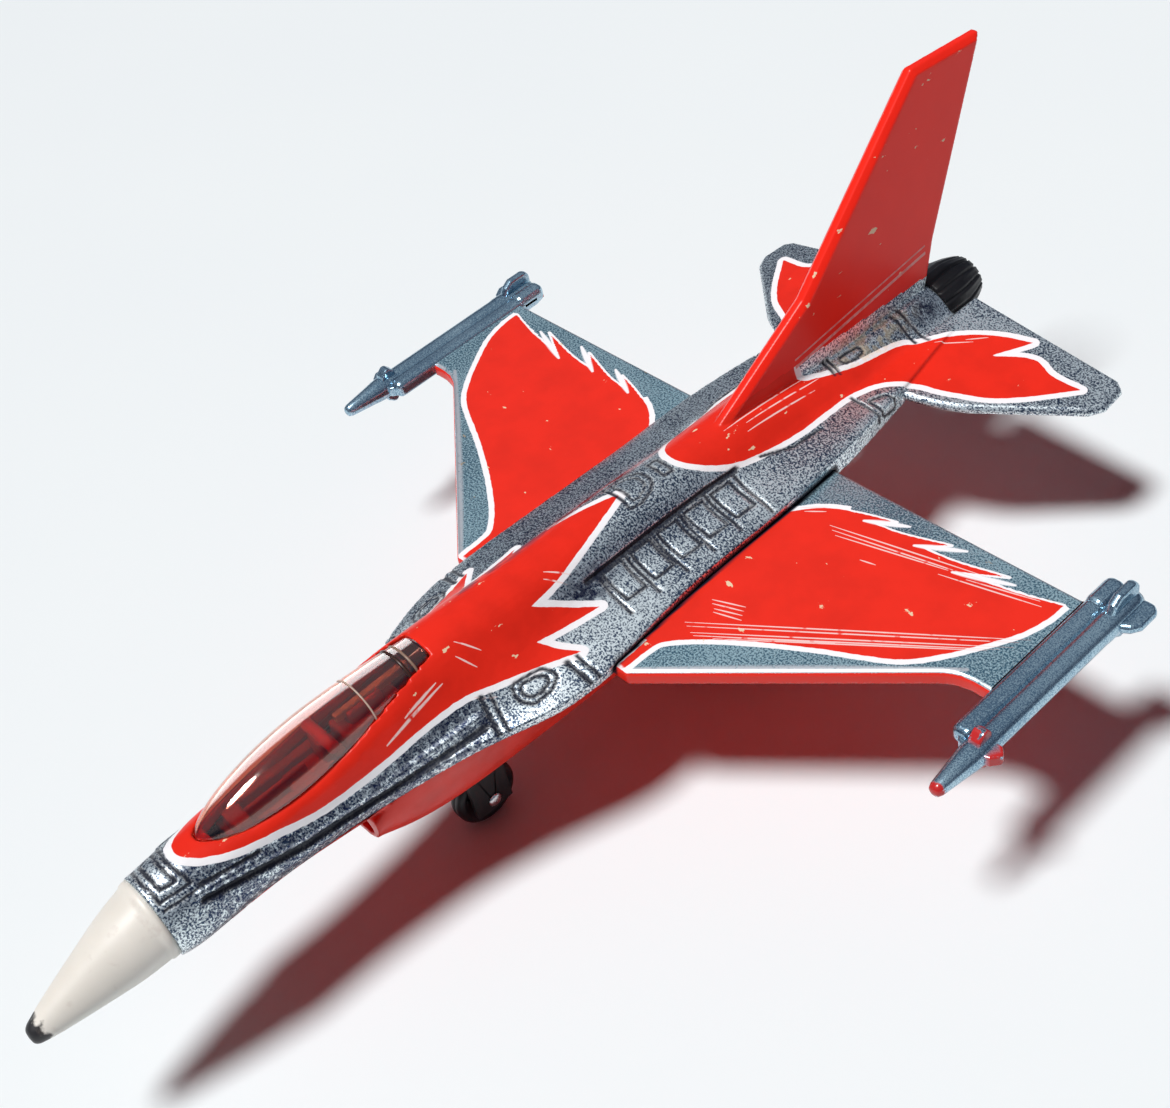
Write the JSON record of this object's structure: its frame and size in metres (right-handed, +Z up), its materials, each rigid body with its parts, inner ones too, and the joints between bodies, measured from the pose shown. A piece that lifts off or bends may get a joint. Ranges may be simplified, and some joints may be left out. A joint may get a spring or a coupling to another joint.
{
  "type": "toy airplane",
  "caption": "Pocket-size die-cast toy jet fighter with a clear canopy, wing-tip missiles, tall fin and free-rolling wheels.",
  "frame": {"origin": "centre of the bounding box's bottom face, on the surface the wheels stand on", "axes": "+X towards the port wing tip, +Y towards the tail so the nose points to -Y, +Z up"},
  "size_m": [0.0732, 0.103, 0.04],
  "materials": {
    "casting_paint": "silver-blue metallic flake with red and white flame markings, chipped and scratched",
    "canopy_tint": "clear amber-brown tinted plastic",
    "red_plastic": "gloss red",
    "wing_plastic": "red plastic, silver-teal paint above with red and white flame markings",
    "cream_plastic": "satin cream",
    "black_plastic": "satin black",
    "cockpit_plastic": "satin red",
    "leg_plastic": "satin black",
    "wheel_plastic": "semi-gloss black",
    "bright_steel": "bright"
  },
  "bodies": {
    "airframe": {"upper_casting": "casting_paint", "canopy": "canopy_tint", "belly_moulding": "red_plastic", "belly_rivets": "bright_steel", "wing_moulding": "wing_plastic", "nose_cone": "cream_plastic", "exhaust_nozzle": "black_plastic", "cockpit_insert": "cockpit_plastic", "nose_gear_leg": "leg_plastic", "main_gear_carrier": "leg_plastic", "nose_axle": "bright_steel", "main_axle": "bright_steel"},
    "nose_wheel": {"nose_wheel": "wheel_plastic"},
    "main_wheel_left": {"main_wheel_left": "wheel_plastic"},
    "main_wheel_right": {"main_wheel_right": "wheel_plastic"}
  },
  "joints": [
    {"name": "nose_wheel_spin", "type": "hinge", "parent": "airframe", "child": "nose_wheel", "pos_m": [0, -0.01315, 0.0029], "axis": [1, 0, 0], "continuous": true},
    {"name": "main_wheel_left_spin", "type": "hinge", "parent": "airframe", "child": "main_wheel_left", "pos_m": [0.0062, 0.014, 0.0029], "axis": [1, 0, 0], "continuous": true},
    {"name": "main_wheel_right_spin", "type": "hinge", "parent": "airframe", "child": "main_wheel_right", "pos_m": [-0.0062, 0.014, 0.0029], "axis": [1, 0, 0], "continuous": true}
  ]
}
